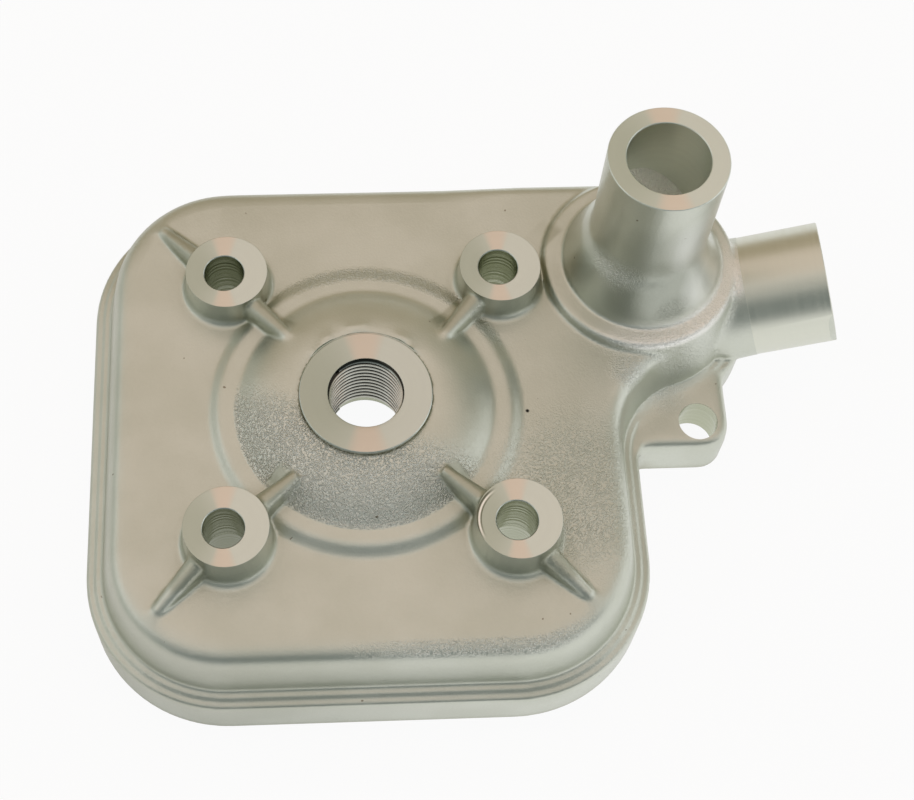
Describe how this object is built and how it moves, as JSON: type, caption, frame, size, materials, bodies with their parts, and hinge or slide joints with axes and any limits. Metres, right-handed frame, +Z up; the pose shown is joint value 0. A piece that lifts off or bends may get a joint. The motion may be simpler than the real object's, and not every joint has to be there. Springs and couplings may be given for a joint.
{
  "type": "cylinder head",
  "caption": "Water-cooled cylinder head casting for a small two-stroke engine, with stud bosses, threaded plug hole, upright hose tower and tilted side hose spigot.",
  "frame": {"origin": "on the plug axis, in the plane of the gasket face", "axes": "+Z up along the plug axis, +X towards the hose side, +Y towards the rear"},
  "size_m": [0.1422, 0.1026, 0.0583],
  "materials": {
    "cast_alloy": "bead-blasted cast aluminium with turned faces",
    "insert_wire": "drawn stainless wire",
    "seal_rubber": "matte moulded rubber"
  },
  "bodies": {
    "root": {"head_casting": "cast_alloy", "plug_thread_insert": "insert_wire", "combustion_seal": "seal_rubber", "coolant_seal": "seal_rubber"}
  },
  "joints": []
}
